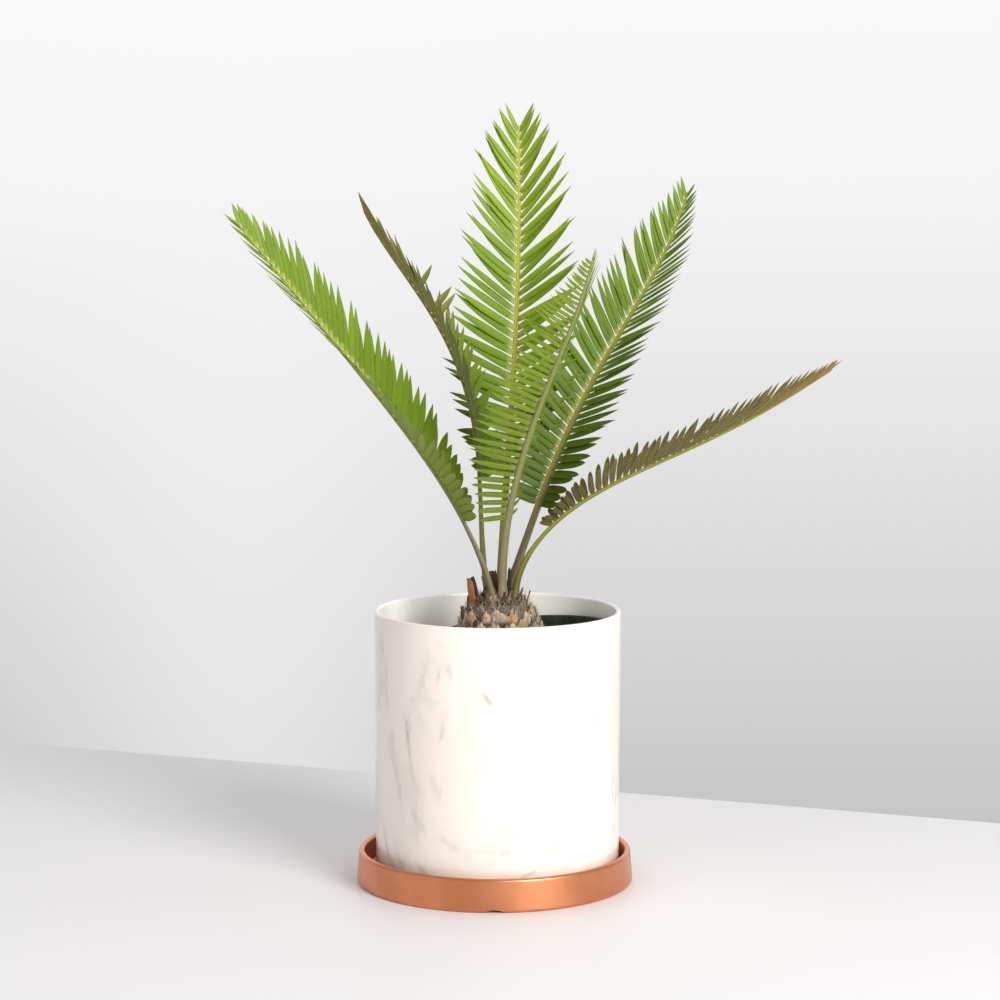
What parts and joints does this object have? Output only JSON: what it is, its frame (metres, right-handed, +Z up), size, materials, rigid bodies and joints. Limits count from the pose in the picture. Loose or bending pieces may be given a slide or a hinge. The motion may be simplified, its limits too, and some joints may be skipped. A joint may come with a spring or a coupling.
{
  "type": "potted cycad",
  "caption": "Young cycad with arching feather-shaped fronds on a short armoured stem, in a nursery pot inside a glazed cylindrical planter on a metal-finished saucer.",
  "frame": {"origin": "middle of the circle that the saucer stands on", "axes": "+Z up; -Y towards the front, where the saucer's half-moon notch is; +X to the right seen from the front"},
  "size_m": [0.3689, 0.2747, 0.4707],
  "materials": {
    "copper_finish": "satin copper-coloured metallic coat",
    "marbled_glaze": "glossy white glaze with faint grey-brown veins",
    "nursery_plastic": "dark green moulded plastic",
    "potting_mix": "dark crumbly bark and peat mix",
    "caudex": "rough woolly old leaf bases, tan and brown",
    "frond": "leathery green leaflets with yellow-green rachis"
  },
  "bodies": {
    "root": {"saucer": "copper_finish", "ceramic_pot": "marbled_glaze", "nursery_pot": "nursery_plastic", "potting_mix": "potting_mix", "caudex": "caudex", "frond_left": "frond", "frond_back_left": "frond", "frond_centre": "frond", "frond_front": "frond", "frond_right": "frond", "frond_low_right": "frond"}
  },
  "joints": []
}
